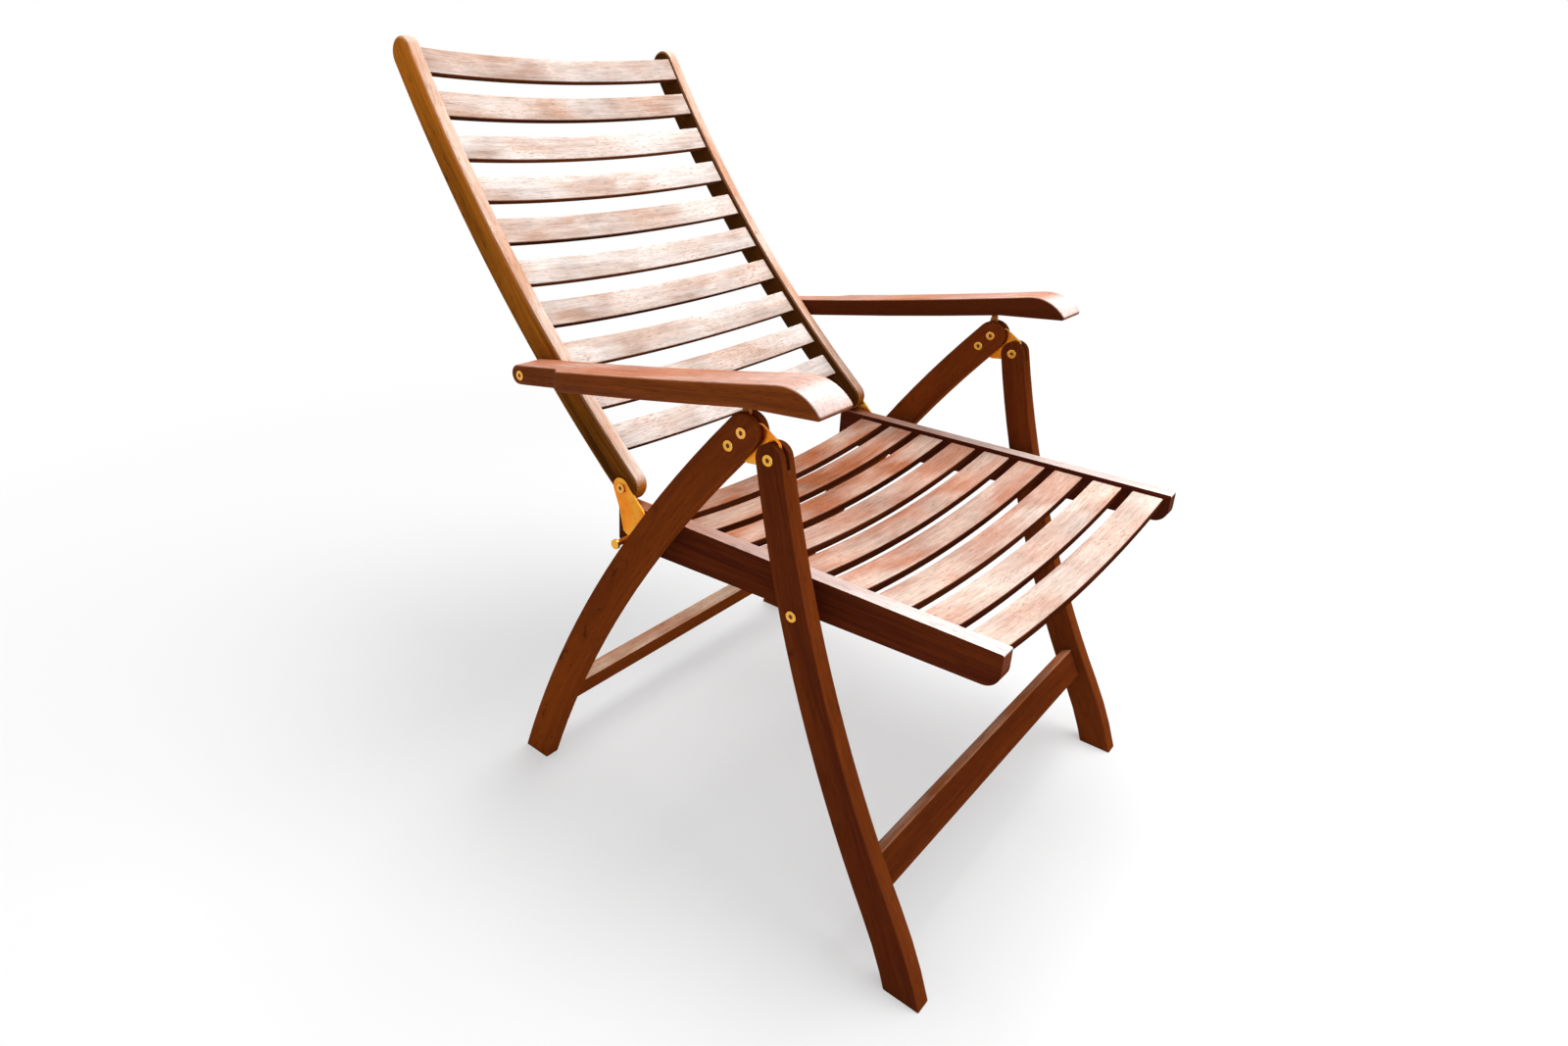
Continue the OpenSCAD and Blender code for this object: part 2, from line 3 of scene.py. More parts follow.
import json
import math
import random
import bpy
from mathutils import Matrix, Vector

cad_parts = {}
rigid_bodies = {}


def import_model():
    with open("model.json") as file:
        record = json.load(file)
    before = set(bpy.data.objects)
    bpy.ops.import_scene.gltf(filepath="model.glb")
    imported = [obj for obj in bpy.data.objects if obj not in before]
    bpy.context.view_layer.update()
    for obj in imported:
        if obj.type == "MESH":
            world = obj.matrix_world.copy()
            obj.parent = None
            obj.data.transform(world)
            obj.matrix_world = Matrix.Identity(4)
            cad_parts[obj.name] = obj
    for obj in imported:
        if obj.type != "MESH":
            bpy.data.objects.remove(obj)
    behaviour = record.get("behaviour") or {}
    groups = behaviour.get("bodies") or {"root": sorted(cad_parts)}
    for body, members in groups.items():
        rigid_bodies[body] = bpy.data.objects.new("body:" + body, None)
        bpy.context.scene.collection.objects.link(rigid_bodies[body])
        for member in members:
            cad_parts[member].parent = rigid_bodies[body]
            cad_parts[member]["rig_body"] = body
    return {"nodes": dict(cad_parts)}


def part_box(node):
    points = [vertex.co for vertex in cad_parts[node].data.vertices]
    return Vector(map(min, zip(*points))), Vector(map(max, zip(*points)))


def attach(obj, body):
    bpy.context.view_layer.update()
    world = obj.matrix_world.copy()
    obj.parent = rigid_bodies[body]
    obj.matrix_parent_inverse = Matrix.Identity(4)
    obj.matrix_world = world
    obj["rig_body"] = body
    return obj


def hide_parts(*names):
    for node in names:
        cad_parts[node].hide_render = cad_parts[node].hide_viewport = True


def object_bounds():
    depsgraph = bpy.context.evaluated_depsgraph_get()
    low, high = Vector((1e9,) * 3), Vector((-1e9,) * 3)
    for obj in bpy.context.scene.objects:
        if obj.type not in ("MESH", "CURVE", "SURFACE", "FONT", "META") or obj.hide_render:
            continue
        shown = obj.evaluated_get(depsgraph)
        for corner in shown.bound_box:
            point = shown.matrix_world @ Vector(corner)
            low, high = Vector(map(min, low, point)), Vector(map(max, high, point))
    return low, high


bl_info = {
    "name": "Folding garden chair",
    "version": (1, 0, 0),
    "blender": (4, 5, 0),
    "location": "View3D > Sidebar > Garden chair",
    "description": "Dresses the pieces of a folding hardwood garden chair",
    "category": "Object",
}

from typing import NamedTuple

import bmesh
import bpy
import numpy as np
from bpy.props import FloatProperty, FloatVectorProperty, PointerProperty
from mathutils import Matrix, Vector

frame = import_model()
CAD_BOX = [list(map(float, corner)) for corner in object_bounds()]

MM = 0.001

# Photograph: size in pixels, focal length and middle of the lens in pixels
PHOTO_WIDTH = 1600
PHOTO_HEIGHT = 1067
FOCAL = 958.939
LENS_X = 687.390
LENS_Y = 462.924

# Camera: sensor in millimetres, turn, rise and roll in degrees, and its place in metres
SENSOR = 36.0
CAMERA_ANGLES = (-48.1868, 21.1957, 1.0004)
CAMERA_X = -1.01356
CAMERA_BEFORE_CHAIR = 0.26280
CAMERA_Z = 0.91047

# Lamps: place and width of each, and the point that they shine at
MAIN_LIGHT = ((0.5, -0.4, 2.9), 2.0)
FRONT_LIGHT = ((-1.6, -1.9, 1.7), 1.8)
LIGHT_TARGET = Vector((0, 0, 0.45))

# Floor: half its side, its squares, where its fade to white starts and ends, and the white in its middle
FLOOR_REACH = 9
FLOOR_SQUARES = 24
FADE_START = 0.5
FADE_END = 2.2
MIDDLE_WHITE = 0.4
WHITE = (1, 1, 1)

FRONT_LEGS = ("front_leg_right", "front_leg_left")
FRONT_STRETCHER = ("front_stretcher",)
BACK_LEGS = ("back_leg_right", "back_leg_left")
BACK_STRETCHER = ("back_leg_stretcher",)
SEAT_RAILS = ("seat_rail_right", "seat_rail_left")
STILES = ("back_stile_right", "back_stile_left")
ARMRESTS = ("arm_right", "arm_left")
SEAT_SLATS = tuple(f"seat_slat_{i}" for i in range(1, 10))
BACK_SLATS = tuple(f"back_slat_{i}" for i in range(1, 11))
LEG_PLATES = ("leg_plate_right", "leg_plate_left")
HINGE_PLATES_AND_RACKS = (
    "hinge_plate_right", "hinge_plate_left", "arm_rack_right", "arm_rack_left",
)
FASTENERS = (
    "leg_pivot_bolts", "seat_pivot_bolts", "leg_plate_bolts", "back_hinge_bolts",
    "arm_bolt_right", "arm_bolt_left", "arm_bush_right", "arm_bush_left",
    "seat_pivot_spacers", "stop_pins", "hinge_plate_screws",
)

# Wood: repeats per metre along, across and through the grain
BANDS = (2.2, 34, 34)
STREAKS = (7, 190, 190)
FIBRES = (30, 900, 900)
PORES = (62, 1150, 1150)
BLOTCHES = (11, 17, 17)
PATCHES = (7, 22, 22)
FLECKS = (110, 460, 460)

# Brass: repeats per metre of rubbing marks, clouds, specks and slow changes of colour
RUBS = (260, 2400, 2400)
CLOUDS = (90, 90, 90)
SPECKS = (700, 700, 700)
DRIFT = (30, 30, 30)

# Mix node: the numbers of its sockets for a factor and two colours, and of its output for a colour
MIX_FACTOR = 0
MIX_FIRST = 6
MIX_SECOND = 7
MIX_COLOUR = 2

# Meshes: points this near are one, faces this flat are one, and edges over these angles are sharp
WELD = 1e-6
FLAT = math.radians(0.4)
SHARP = math.radians(40)
SHADED_SHARP = math.radians(38)
SHORTEST_WOOD_EDGE = 1.3 * MM

# Grain: the furthest that it is shifted along, across and through a piece, the length above which a piece
# may be bowed, and the least width of one that may be turned
GRAIN_SHIFTS = (9, 3, 3)
LONG = 0.1
THIN = 1e-4

# Ageing: direction of sunlight and painted light, least x in a side's normal, half width of the slats'
# darker middle, full and faint
LIT_AND_SUNWARD = Vector((0, -0.12, 0.993))
SIDEWAYS = 0.7
REFLECTION_MIDDLE = (0.02, 0.21)

# Brass: radius of the bolts' sockets and depth where their film starts, height and painted shade of the
# tabs under the racks
SOCKET_RADIUS = 3.4 * MM
SOCKET_LIP = 0.2 * MM
TAB_HEIGHT = 11 * MM
TAB_SHADE = 0.6


def colour(name, description, value):
    """A colour that a user may change."""
    return FloatVectorProperty(
        name=name, description=description, default=value, subtype="COLOR", size=3, min=0, max=1
    )


def length(name, description, value):
    """A small length in metres that a user may change."""
    return FloatProperty(
        name=name, description=description, default=value, min=0, max=0.02,
        subtype="DISTANCE", unit="LENGTH", precision=5,
    )


def share(name, description, value):
    """A share from 0 to 1 that a user may change."""
    return FloatProperty(
        name=name, description=description, default=value, min=0, max=1, subtype="FACTOR"
    )


def power(name, description, value):
    """A lamp's power in watts that a user may change."""
    return FloatProperty(
        name=name, description=description, default=value, min=0, max=500,
        subtype="POWER", unit="POWER",
    )


class GardenChairWood(bpy.types.PropertyGroup):
    """Sizes and colours of the wooden pieces."""

    leg_dark: colour("Legs, dark", "Heartwood of the legs and rails", (0.075, 0.013, 0.006))
    leg_warm: colour("Legs, warm", "Open grain of the legs and rails", (0.300, 0.064, 0.0085))
    leg_faded: colour("Legs, faded", "Sunned wood of the legs and rails", (0.560, 0.190, 0.075))
    leg_pale: colour("Legs, pale", "Driest wood of the legs and rails", (0.900, 0.670, 0.500))
    stile_dark: colour("Stiles, dark", "Heartwood of the stiles", (0.070, 0.022, 0.004))
    stile_warm: colour("Stiles, warm", "Open grain of the stiles", (0.600, 0.185, 0.017))
    stile_faded: colour("Stiles, faded", "Sunned wood of the stiles", (0.620, 0.300, 0.170))
    stile_pale: colour("Stiles, pale", "Driest wood of the stiles", (0.880, 0.750, 0.665))
    arm_dark: colour("Armrests, dark", "Heartwood of the armrests", (0.090, 0.017, 0.004))
    arm_warm: colour("Armrests, warm", "Open grain of the armrests", (0.360, 0.085, 0.013))
    arm_faded: colour("Armrests, faded", "Sunned wood of the armrests", (0.740, 0.300, 0.170))
    arm_pale: colour("Armrests, pale", "Driest wood of the armrests", (0.880, 0.660, 0.580))
    seat_dark: colour("Seat slats, dark", "Heartwood of the seat slats", (0.032, 0.0055, 0.002))
    seat_warm: colour("Seat slats, warm", "Open grain of the seat slats", (0.130, 0.028, 0.008))
    seat_faded: colour("Seat slats, faded", "Sunned wood of the seat slats", (0.600, 0.190, 0.072))
    seat_pale: colour("Seat slats, pale", "Driest wood of the seat slats", (0.955, 0.790, 0.665))
    back_dark: colour("Back slats, dark", "Heartwood of the back slats", (0.040, 0.008, 0.0025))
    back_warm: colour("Back slats, warm", "Open grain of the back slats", (0.150, 0.038, 0.010))
    back_faded: colour("Back slats, faded", "Sunned wood of the back slats", (0.560, 0.340, 0.240))
    back_pale: colour("Back slats, pale", "Driest wood of the back slats", (0.860, 0.785, 0.740))
    # Silvery white towards the fronts of rails and slats and on armrest noses: weathered wood and a
    # painted highlight
    silver_and_highlight: colour("Silvered wood", "Wood that sun and hands have stripped", (0.90, 0.88, 0.88))
    fleck: colour("Flecks", "Short brown flecks left in sunned wood", (0.340, 0.130, 0.060))
    pore: colour("Pores", "Dark oil in the open pores", (0.050, 0.012, 0.005))
    frame_edge: length("Frame edge", "Rounding of the edges of legs and rails", 0.0018)
    stile_edge: length("Stile edge", "Rounding of the edges of the stiles", 0.0042)
    slat_edge: length("Slat edge", "Rounding of the edges of the slats", 0.0013)
    arm_edge: length("Armrest edge", "Rounding of the edges of the armrests", 0.0016)
    slat_fade: share("Fading of the slats", "How far the sun has bleached them", 1.0)
    frame_fade: share("Fading of the frame", "How far the sun has bleached rails and stiles", 0.92)
    leg_fade: share("Fading of the legs", "How far the sun has bleached them", 0.10)
    # The stretchers' top faces are faded further, a painted light that lifts them out of the seat's shadow
    front_stretcher_fade: share(
        "Fading of the front stretcher", "How far the sun has bleached it", 0.7125
    )
    back_stretcher_fade: share(
        "Fading of the back stretcher", "How far the sun has bleached it", 0.95
    )
    arm_fade: share("Fading of the armrests", "How far the sun has bleached them", 0.78)


class GardenChairBrass(bpy.types.PropertyGroup):
    """Sizes and colours of the brass pieces."""

    polished: colour("Polished brass", "Bright metal of the bolt heads", (0.880, 0.410, 0.090))
    plated: colour("Plated sheet", "Golden metal of the plates", (0.820, 0.225, 0.010))
    golden: colour("Yellow gold", "Yellower clouds in the metal", (0.770, 0.400, 0.042))
    tarnish: colour("Tarnish", "Dull brown film in the hollows", (0.130, 0.052, 0.016))
    edge: length("Brass edge", "Rounding of the edges of the metal", 0.00035)


class GardenChairStudio(bpy.types.PropertyGroup):
    """Colours and light of the studio."""

    floor: colour("Floor", "Pale floor under the chair", (0.86, 0.86, 0.86))
    key: power("Main light", "Power of the main soft light", 90)
    fill: power("Fill light", "Power of the light beside the camera", 10)
    sky: share("Sky", "Strength of the even light from all round", 0.42)


class Wire:
    """A socket in a finish, which can be used in sums."""

    def __init__(self, recipe, socket):
        self.recipe = recipe
        self.socket = socket

    def maths(self, operation, *values):
        """A Math node on this socket and numbers or other sockets."""
        return self.recipe.node("ShaderNodeMath", {"operation": operation}, dict(enumerate(values)))

    def __add__(self, other):
        return self.maths("ADD", self, other)

    def __radd__(self, other):
        return self.maths("ADD", other, self)

    def __sub__(self, other):
        return self.maths("SUBTRACT", self, other)

    def __rsub__(self, other):
        return self.maths("SUBTRACT", other, self)

    def __mul__(self, other):
        return self.maths("MULTIPLY", self, other)

    def __rmul__(self, other):
        return self.maths("MULTIPLY", other, self)

    def clamped(self):
        """The same value, held between 0 and 1."""
        settings = {"operation": "ADD", "use_clamp": True}
        return self.recipe.node("ShaderNodeMath", settings, {0: self, 1: 0.0})

    def output(self, name):
        """Another output of the node that this socket is on."""
        return Wire(self.recipe, self.socket.node.outputs[name])


class Recipe:
    """The nodes of one finish, or of the sky."""

    def __init__(self, owner):
        self.owner = owner
        owner.use_nodes = True
        self.tree = owner.node_tree
        self.tree.nodes.clear()

    def node(self, kind, settings=None, sockets=None, output=0):
        """Any node: its settings first, then the values or wires of its sockets."""
        made = self.tree.nodes.new(kind)
        for key, value in (settings or {}).items():
            if key == "stops":
                for element, (place, tone) in zip(made.color_ramp.elements, value):
                    element.position = place
                    element.color = (tone, tone, tone, 1)
            else:
                setattr(made, key, value)
        for key, value in (sockets or {}).items():
            socket = made.inputs[key]
            if isinstance(value, Wire):
                self.tree.links.new(value.socket, socket)
            elif socket.type == "RGBA":
                socket.default_value = (*value[:3], 1)
            else:
                socket.default_value = value
        return Wire(self, made.outputs[output]) if made.outputs else None

    def mix(self, factor, first, second, blend="MIX"):
        """A colour between two colours."""
        settings = {"data_type": "RGBA", "blend_type": blend}
        sockets = {MIX_FACTOR: factor, MIX_FIRST: first, MIX_SECOND: second}
        return self.node("ShaderNodeMix", settings, sockets, MIX_COLOUR)

    def rise(self, value, low, high, start=0):
        """A grey that rises from start to 1 as the value goes from low to high."""
        return self.node("ShaderNodeValToRGB", {"stops": [(low, start), (high, 1)]}, {0: value})

    def noise(self, vector, repeats, detail, roughness, distortion=0.0):
        """Noise from 0 to 1 over a vector, with its repeats per metre."""
        stretched = self.node(
            "ShaderNodeVectorMath", {"operation": "MULTIPLY"}, {0: vector, 1: repeats}
        )
        return self.node(
            "ShaderNodeTexNoise", {"noise_dimensions": "3D"},
            {"Vector": stretched, "Scale": 1.0, "Detail": detail,
             "Roughness": roughness, "Distortion": distortion},
        )

    def attribute(self, name, output):
        """A value painted on the piece."""
        settings = {"attribute_type": "GEOMETRY", "attribute_name": name}
        return self.node("ShaderNodeAttribute", settings, None, output)

    def painted(self):
        """The three values in the painted attribute of ageing, painted light and painted shade."""
        first = self.node("ShaderNodeSeparateColor", None, {0: self.attribute("age", "Color")})
        return first, first.output(1), first.output(2)

    def bump(self, height, strength, distance):
        """Fine relief for a shader's normal."""
        return self.node(
            "ShaderNodeBump", None,
            {"Strength": strength, "Distance": distance, "Height": height},
        )

    def surface(self, **sockets):
        """The finished surface."""
        named = {key.replace("_", " "): value for key, value in sockets.items()}
        shader = self.node("ShaderNodeBsdfPrincipled", None, named)
        self.node("ShaderNodeOutputMaterial", None, {"Surface": shader})
        return self.owner

    def in_view(self):
        """1 for rays that show the background: seen directly, mirrored or through glass."""
        rays = self.node("ShaderNodeLightPath")
        direct, mirrored, through = (
            rays.output(f"Is {kind} Ray") for kind in ("Camera", "Glossy", "Transmission")
        )
        return rays.maths("MAXIMUM", rays.maths("MAXIMUM", direct, mirrored), through)


def oiled_hardwood(name, wood, group, dryness=0.0, gloss=0.0, figuring=0.7):
    """Open-grained red-brown hardwood, oiled, and faded pale where sunlight and painted light from above
    reach it.
    """
    recipe = Recipe(bpy.data.materials.new(name))
    grain = recipe.attribute("grain", "Vector")
    sun_and_light, worn, tone = recipe.painted()
    stripped = recipe.attribute("stripped", "Fac")
    dark, warm, faded, pale = (
        getattr(wood, f"{group}_{tint}") for tint in ("dark", "warm", "faded", "pale")
    )

    # Slow bands of colour, streaks, fine fibres and short dark pores, all drawn out along the grain
    bands = recipe.noise(grain, BANDS, 4, 0.6, 0.35)
    streaks = recipe.noise(grain, STREAKS, 3, 0.6, 0.2)
    fibres = recipe.noise(grain, FIBRES, 2, 0.5)
    pores = recipe.rise(recipe.noise(grain, PORES, 1.5, 0.5), 0.60, 0.70)
    blotches = recipe.noise(grain, BLOTCHES, 4, 0.62)
    patches = recipe.rise(recipe.noise(grain, PATCHES, 2, 0.5, 0.4), 0.36, 0.62)

    # Oiled wood: the figure runs between dark and warm around a middle that the piece's tone, less its
    # painted shade, moves
    figure = recipe.rise(bands * 0.6 + streaks * 0.4, 0.36, 0.66)
    warmth = figure * figuring + tone * 0.45 + (0.30 - figuring * 0.5)
    oiled = recipe.mix(warmth.clamped(), dark, warm)

    # Dry wood: faded in patches, and paler where sunlight and painted light are strong
    grey = patches * 0.6 + fibres * 0.35 + figure * 0.2 + tone * 0.3 + sun_and_light * 0.8
    dry = recipe.mix((grey + (dryness - 1.02)).clamped(), faded, pale)

    # Sunlight fades the wood unevenly, with painted light on what looks up; rounded edges come out a
    # little paler, worn and with a painted edge highlight
    fading = recipe.rise(blotches * 0.7 + streaks * 0.3, 0.30, 0.62, 0.55)
    bleached_and_lit = (sun_and_light * fading + worn * 0.10 * (sun_and_light * 0.8 + 0.2)).clamped()
    aged = recipe.mix(bleached_and_lit, oiled, dry)
    # Silvery white towards the front and on noses: weathered wood and a painted highlight
    body = recipe.mix((stripped * (0.6 + figure * 0.4)).clamped(), aged, wood.silver_and_highlight)

    # Fine marks on top: fibres, brown flecks in what is bleached, and pores
    fine = recipe.mix(1.0, body, recipe.rise(fibres, 0.3, 0.7, 0.80), "MULTIPLY")
    specks = recipe.rise(recipe.noise(grain, FLECKS, 2, 0.6), 0.54, 0.66)
    flecks = specks * recipe.rise(blotches, 0.44, 0.60, 0.15)
    flecked = recipe.mix(flecks * bleached_and_lit * 0.6, fine, wood.fleck)
    finished = recipe.mix(pores * (0.62 - bleached_and_lit * 0.30), flecked, wood.pore)

    relief = fibres * 0.35 + streaks * 0.3 - pores * 0.9
    return recipe.surface(
        Base_Color=finished,
        Roughness=0.42 + bleached_and_lit * 0.18 + pores * 0.2 + (streaks - 0.5) * 0.12,
        Normal=recipe.bump(relief, 0.35, 0.0004),
        Specular_IOR_Level=gloss,
    )


def brass(name, bright, settings, film):
    """Brass with fine rubbing marks, clouds of yellower gold, duller film in the hollows and painted shade
    where a piece carries it.
    """
    recipe = Recipe(bpy.data.materials.new(name))
    grain = recipe.attribute("grain", "Vector")
    hollow_and_shade, worn, _ = recipe.painted()
    rubs = recipe.noise(grain, RUBS, 2, 0.6)
    clouds = recipe.noise(grain, CLOUDS, 4, 0.65)
    specks = recipe.rise(recipe.noise(grain, SPECKS, 2, 0.6), 0.62, 0.72)
    drift = recipe.rise(recipe.noise(grain, DRIFT, 1.5, 0.5), 0.40, 0.62)

    # Film lies in clouds and specks, is rubbed off the edges and fills the hollows; painted shade darkens
    # the same way
    dull = recipe.rise(clouds, 0.42, 0.74) * film + specks * film * 0.6
    shaded = (hollow_and_shade * 0.95 + dull * (1.0 - worn * 0.8)).clamped()
    tinted = recipe.mix(drift * 0.7 + clouds * 0.2, bright, settings.golden)
    return recipe.surface(
        Base_Color=recipe.mix(shaded, tinted, settings.tarnish),
        Metallic=(1.0 - hollow_and_shade * 0.4).clamped(),
        Roughness=0.20 + rubs * 0.12 + shaded * 0.34,
        Normal=recipe.bump(rubs + specks * 0.6, 0.18, 0.0001),
    )


def cleaned(node):
    """A working mesh from a solid of the frame, with its flat faces made whole."""
    work = bmesh.new()
    work.from_mesh(frame["nodes"][node].data)
    bmesh.ops.remove_doubles(work, verts=work.verts, dist=WELD)
    bmesh.ops.dissolve_limit(
        work, angle_limit=FLAT, use_dissolve_boundaries=False, verts=work.verts, edges=work.edges
    )
    return work


def grain_places(points, along_x, dice):
    """Places along, across and through a piece, measured from its own bowed middle line."""
    centred = points - points.mean(0)
    spread = np.linalg.svd(centred[:, 1:], full_matrices=False)[2]
    if along_x:
        axes = np.eye(3)
        if np.ptp(centred[:, 1]) > THIN:
            axes[1:, 1:] = spread
    else:
        axes = np.array([[0, *spread[0]], [0, *spread[1]], [1.0, 0, 0]])
    placed = centred @ axes.T
    for side in (1, 2):
        if np.ptp(placed[:, 0]) > LONG:
            bow = np.polyfit(placed[:, 0], placed[:, side], 2)
            placed[:, side] -= np.polyval(bow, placed[:, 0])
    return placed + np.array([dice.uniform(0, reach) for reach in GRAIN_SHIFTS])


def painted_piece(node, work, along_x, paint, finish, worn_faces, tones=(0.0, 1.0)):
    """Turns a working mesh into the piece that stands for a node, with its grain, ageing, painted light
    and painted shade.
    """
    dice = random.Random(node)
    mesh = bpy.data.meshes.new(node + "_finished")
    work.normal_update()
    work.to_mesh(mesh)
    work.free()
    places = np.array([vertex.co for vertex in mesh.vertices], float)
    grain = grain_places(places, along_x, dice).astype(np.float32)
    tone = tones[0] + (tones[1] - tones[0]) * dice.random()
    age, stripped = [], []
    for polygon in mesh.polygons:
        worn = 1.0 if polygon.index in worn_faces else 0.0
        for vertex in polygon.vertices:
            first, bare_and_highlight, painted_shade = paint(polygon, mesh.vertices[vertex].co)
            age += (first, worn, tone - painted_shade, 1.0)
            stripped.append(bare_and_highlight)
    for name, kind, domain, field, values in (
        ("grain", "FLOAT_VECTOR", "POINT", "vector", grain.ravel()),
        ("age", "FLOAT_COLOR", "CORNER", "color", age),
        ("stripped", "FLOAT", "CORNER", "value", stripped),
    ):
        mesh.attributes.new(name, kind, domain).data.foreach_set(field, values)
    mesh.polygons.foreach_set("use_smooth", [True] * len(mesh.polygons))
    mesh.set_sharp_from_angle(angle=SHADED_SHARP)
    mesh.materials.append(finish)
    piece = bpy.data.objects.new(node + "_finished", mesh)
    bpy.context.scene.collection.objects.link(piece)
    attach(piece, frame["nodes"][node]["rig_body"])
    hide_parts(node)


def softened(work, radius, shortest, segments):
    """Rounds the sharp edges and gives back the numbers of the new narrow faces."""
    sharp = [
        edge for edge in work.edges
        if len(edge.link_faces) == 2
        and edge.calc_face_angle(0) > SHARP
        and edge.calc_length() > shortest
    ]
    made = bmesh.ops.bevel(
        work, geom=sharp, offset=radius, offset_type="OFFSET", segments=segments, profile=0.5,
        affect="EDGES", clamp_overlap=True,
    )
    work.faces.index_update()
    return {face.index for face in made["faces"]}


def smoothed(value, low, high):
    """0 below low, 1 above high and a soft step between."""
    step = min(max((value - low) / (high - low), 0), 1)
    return step * step * (3 - 2 * step)


class Ageing(NamedTuple):
    """How sunlight and hands have aged a group of wooden pieces, with painted light and painted shade.

    fade      how pale what faces up has turned, from sunlight and painted light
    tones     lowest and highest tone that one piece may have, from dark to warm
    level     how far a face must look up before it turns pale at all
    span      how much further it must look up to turn fully pale
    backrest_shade  how much darker it is towards the backrest, a painted shade
    bare_and_highlight  how far what looks up turns silvery towards the front: weathered wood and a painted
    highlight nose_highlight  how far a rounded front end turns silvery white, a painted highlight
    polished  how much darker the seat slats' middle is kept than their paler ends, which are a painted
    reflection inner  how much darker the sides are that face the middle of the chair, a painted shade
    outer  how much darker the outward sides are, at the foot and at the top, a painted shade, and painted
    light where it is below 0
    """

    fade: float
    tones: tuple = (0.0, 1.0)
    level: float = 0.05
    span: float = 0.7
    backrest_shade: float = 0.0
    bare_and_highlight: float = 0.0
    nose_highlight: float = 0.0
    polished: float = 0.0
    inner: float = 0.0
    outer: tuple = (0.0, 0.0)


def weathered(node, ageing):
    """The function that gives a wooden piece's sunlight and painted light, its bareness and painted
    highlight, and its painted shade, at a corner.
    """
    seat_front, seat_back = (corner[1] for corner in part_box("seat_rail_right"))
    foot, top = (corner[2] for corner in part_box(node))

    def paint(polygon, point):
        normal = polygon.normal
        backward = smoothed(point.y, seat_front, seat_back)
        # Faces that look up turn pale: sunlight fading, and painted light from above
        lit_and_sunned = smoothed(normal.dot(LIT_AND_SUNWARD), ageing.level, ageing.level + ageing.span)
        forward = smoothed(-normal.y, 0.05, 0.5) * smoothed(normal.z, 0, 0.3)
        tip = smoothed(-normal.y, 0.45, 0.85)
        middle = 1 - smoothed(abs(point.x), *REFLECTION_MIDDLE)
        # Darker towards the backrest, a painted shade, and across the seat slats' middle, against a
        # painted reflection at their ends
        left_after_painted_shade = (1 - ageing.backrest_shade * backward) * (1 - ageing.polished * middle)
        sun_and_light = ageing.fade * lit_and_sunned * left_after_painted_shade
        # Silvery towards the front, weathered wood and a painted highlight; rounded noses whiter still, a
        # painted highlight
        bare_and_highlight = ageing.bare_and_highlight * lit_and_sunned * (1 - backward) + ageing.nose_highlight * forward * (1 - 0.75 * tip)
        # Sides facing the middle or outwards are darkened, a painted shade; a value below 0 paints light
        # instead
        painted_shade = 0.0
        if abs(normal.x) > SIDEWAYS:
            painted_shade = ageing.inner
            if normal.x * polygon.center.x > 0:
                low, high = ageing.outer
                painted_shade = low + (high - low) * smoothed(point.z, foot, top)
        return sun_and_light + (1 - sun_and_light) * ageing.nose_highlight * forward, min(bare_and_highlight, 1.0), painted_shade

    return paint


def wooden(nodes, finish, edge, ageing, along_x=False):
    """Wooden pieces with rounded edges, aged by where their faces lie and look."""
    for node in nodes:
        work = cleaned(node)
        worn_faces = softened(work, edge, SHORTEST_WOOD_EDGE, 2)
        paint = weathered(node, ageing)
        painted_piece(node, work, along_x, paint, finish, worn_faces, ageing.tones)


def solid_boxes(work):
    """Lowest and highest corners of each separate solid in a working mesh."""
    work.verts.index_update()
    reached = set()
    boxes = []
    for start in work.verts:
        if start.index in reached:
            continue
        reached.add(start.index)
        waiting, corners = [start], []
        while waiting:
            vertex = waiting.pop()
            corners.append(vertex.co)
            for near in (edge.other_vert(vertex) for edge in vertex.link_edges):
                if near.index not in reached:
                    reached.add(near.index)
                    waiting.append(near)
        boxes.append((np.min(corners, 0), np.max(corners, 0)))
    return boxes


def in_socket(place, boxes, radius):
    """Whether a place is down the socket in an end of one of the bolts, which lie along x."""
    for low, high in boxes:
        if all(low - WELD <= place) and all(place <= high + WELD):
            middle = (low + high) / 2
            away = math.hypot(place[1] - middle[1], place[2] - middle[2])
            depth = min(place[0] - low[0], high[0] - place[0])
            if away < radius and depth > SOCKET_LIP:
                return True
    return False


def metal(nodes, finish, edge, socket_radius=0.0, tab_height=0.0):
    """Brass pieces with eased edges, dull film in bolt sockets, and painted shade on tabs under the racks.
    """
    for node in nodes:
        work = cleaned(node)
        tab_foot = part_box(node)[1][2] - tab_height
        if tab_height:
            bmesh.ops.bisect_plane(
                work, geom=[*work.verts, *work.edges, *work.faces],
                plane_co=(0, 0, tab_foot), plane_no=(0, 0, 1),
            )
        worn_faces = softened(work, edge, 0.0, 1)
        boxes = solid_boxes(work) if socket_radius else []

        def paint(polygon, _):
            film = 0.0
            # Tabs under the racks are darkened: a painted shade
            if tab_height and polygon.center.z > tab_foot:
                film = TAB_SHADE
            elif in_socket(np.array(polygon.center), boxes, socket_radius):
                film = 1.0
            return film, 0.0, 0.0

        painted_piece(node, work, True, paint, finish, worn_faces)


